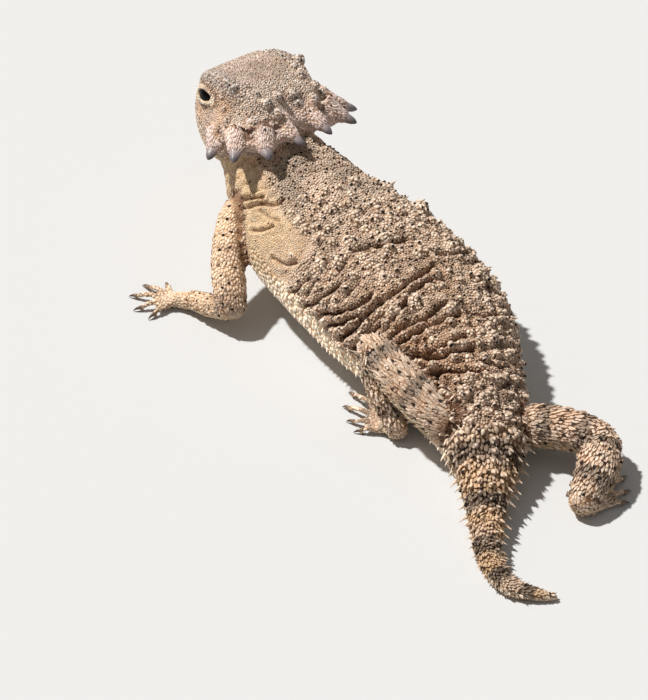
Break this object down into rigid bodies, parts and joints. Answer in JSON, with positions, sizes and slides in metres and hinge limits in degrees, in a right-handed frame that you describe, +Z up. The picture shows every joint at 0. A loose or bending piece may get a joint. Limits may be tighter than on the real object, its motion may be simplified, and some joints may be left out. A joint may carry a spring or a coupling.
{
  "type": "horned lizard",
  "caption": "Life-size still model of a horned lizard, front raised on its forelegs, head turned and tilted, with crown horns, spiny back, side fringe and curled tail tip.",
  "frame": {"origin": "middle of the footprint's bounding box, on the floor", "axes": "+Z up, +Y towards the animal's head end, +X towards its right; the picture is taken from -Y and above"},
  "size_m": [0.084, 0.1136, 0.0322],
  "materials": {
    "head_skin": "matt granular scales, pinkish grey",
    "back_skin": "matt granular scales, sandy tan with dark blotches",
    "throat_skin": "matt granular scales, cream",
    "tail_skin": "matt keeled scales, orange tan with dark bars",
    "limb_skin": "matt keeled scales, banded grey and tan",
    "horn": "satin horn, bluish towards the tip",
    "eye": "glossy, near black"
  },
  "bodies": {
    "root": {"eye_left": "eye", "eye_right": "eye", "foot_left": "limb_skin", "foot_right": "limb_skin", "forearm_left": "limb_skin", "forearm_right": "limb_skin", "hand_left": "limb_skin", "hand_right": "limb_skin", "head": "head_skin", "horn_inner_left": "horn", "horn_inner_right": "horn", "horn_middle_left": "horn", "horn_middle_right": "horn", "horn_occipital_left": "horn", "horn_occipital_right": "horn", "horn_outer_left": "horn", "horn_outer_right": "horn", "neck": "throat_skin", "shank_left": "limb_skin", "shank_right": "limb_skin", "tail_base": "tail_skin", "tail_middle": "tail_skin", "tail_tip": "tail_skin", "thigh_left": "limb_skin", "thigh_right": "limb_skin", "torso": "back_skin", "upper_arm_left": "limb_skin", "upper_arm_right": "limb_skin"}
  },
  "joints": []
}
